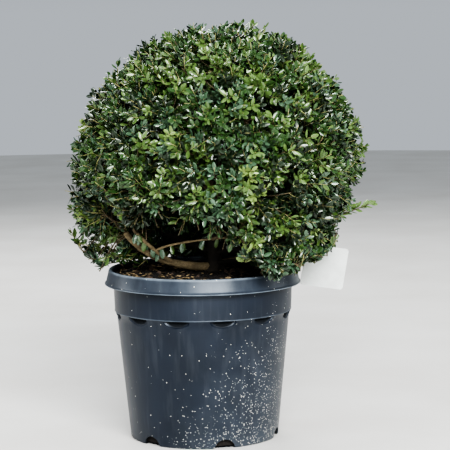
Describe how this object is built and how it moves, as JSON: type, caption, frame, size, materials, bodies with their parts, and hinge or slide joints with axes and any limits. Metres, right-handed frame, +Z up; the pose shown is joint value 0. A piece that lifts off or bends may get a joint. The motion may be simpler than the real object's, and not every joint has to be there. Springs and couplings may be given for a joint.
{
  "type": "potted japanese holly ball",
  "caption": "Clipped evergreen ball shrub with small glossy leaves on low branching boughs, growing in a round tapered plastic nursery pot with a blank hanging label.",
  "frame": {"origin": "centre of the pot's flat underside", "axes": "+Z up along the pot's axis, -Y towards the front where the low left bough shows, +X to the right with the label"},
  "size_m": [0.547, 0.511, 0.7228],
  "materials": {
    "pot_plastic": "dark slate blue-grey moulded polypropylene, satin, dusted with sand",
    "compost": "dark crumbly potting compost with leaf litter",
    "bark": "tan to olive-brown fine bark, matte",
    "holly_leaf": "dark to mid green waxy leaves, glossy",
    "label_plastic": "blank white plastic sheet"
  },
  "bodies": {
    "root": {"pot": "pot_plastic", "compost": "compost", "trunk": "bark", "leader": "bark", "bough_left": "bark", "bough_left_fork": "bark", "front_twig": "bark", "bough_right": "bark", "bough_back": "bark", "bough_back_left": "bark", "bough_low_front": "bark", "bough_low_right": "bark", "bough_low_back": "bark", "foliage_ball": "holly_leaf", "foliage_skirt_left": "holly_leaf", "foliage_skirt_front": "holly_leaf", "foliage_skirt_right": "holly_leaf", "foliage_skirt_back": "holly_leaf", "plant_label": "label_plastic"}
  },
  "joints": []
}
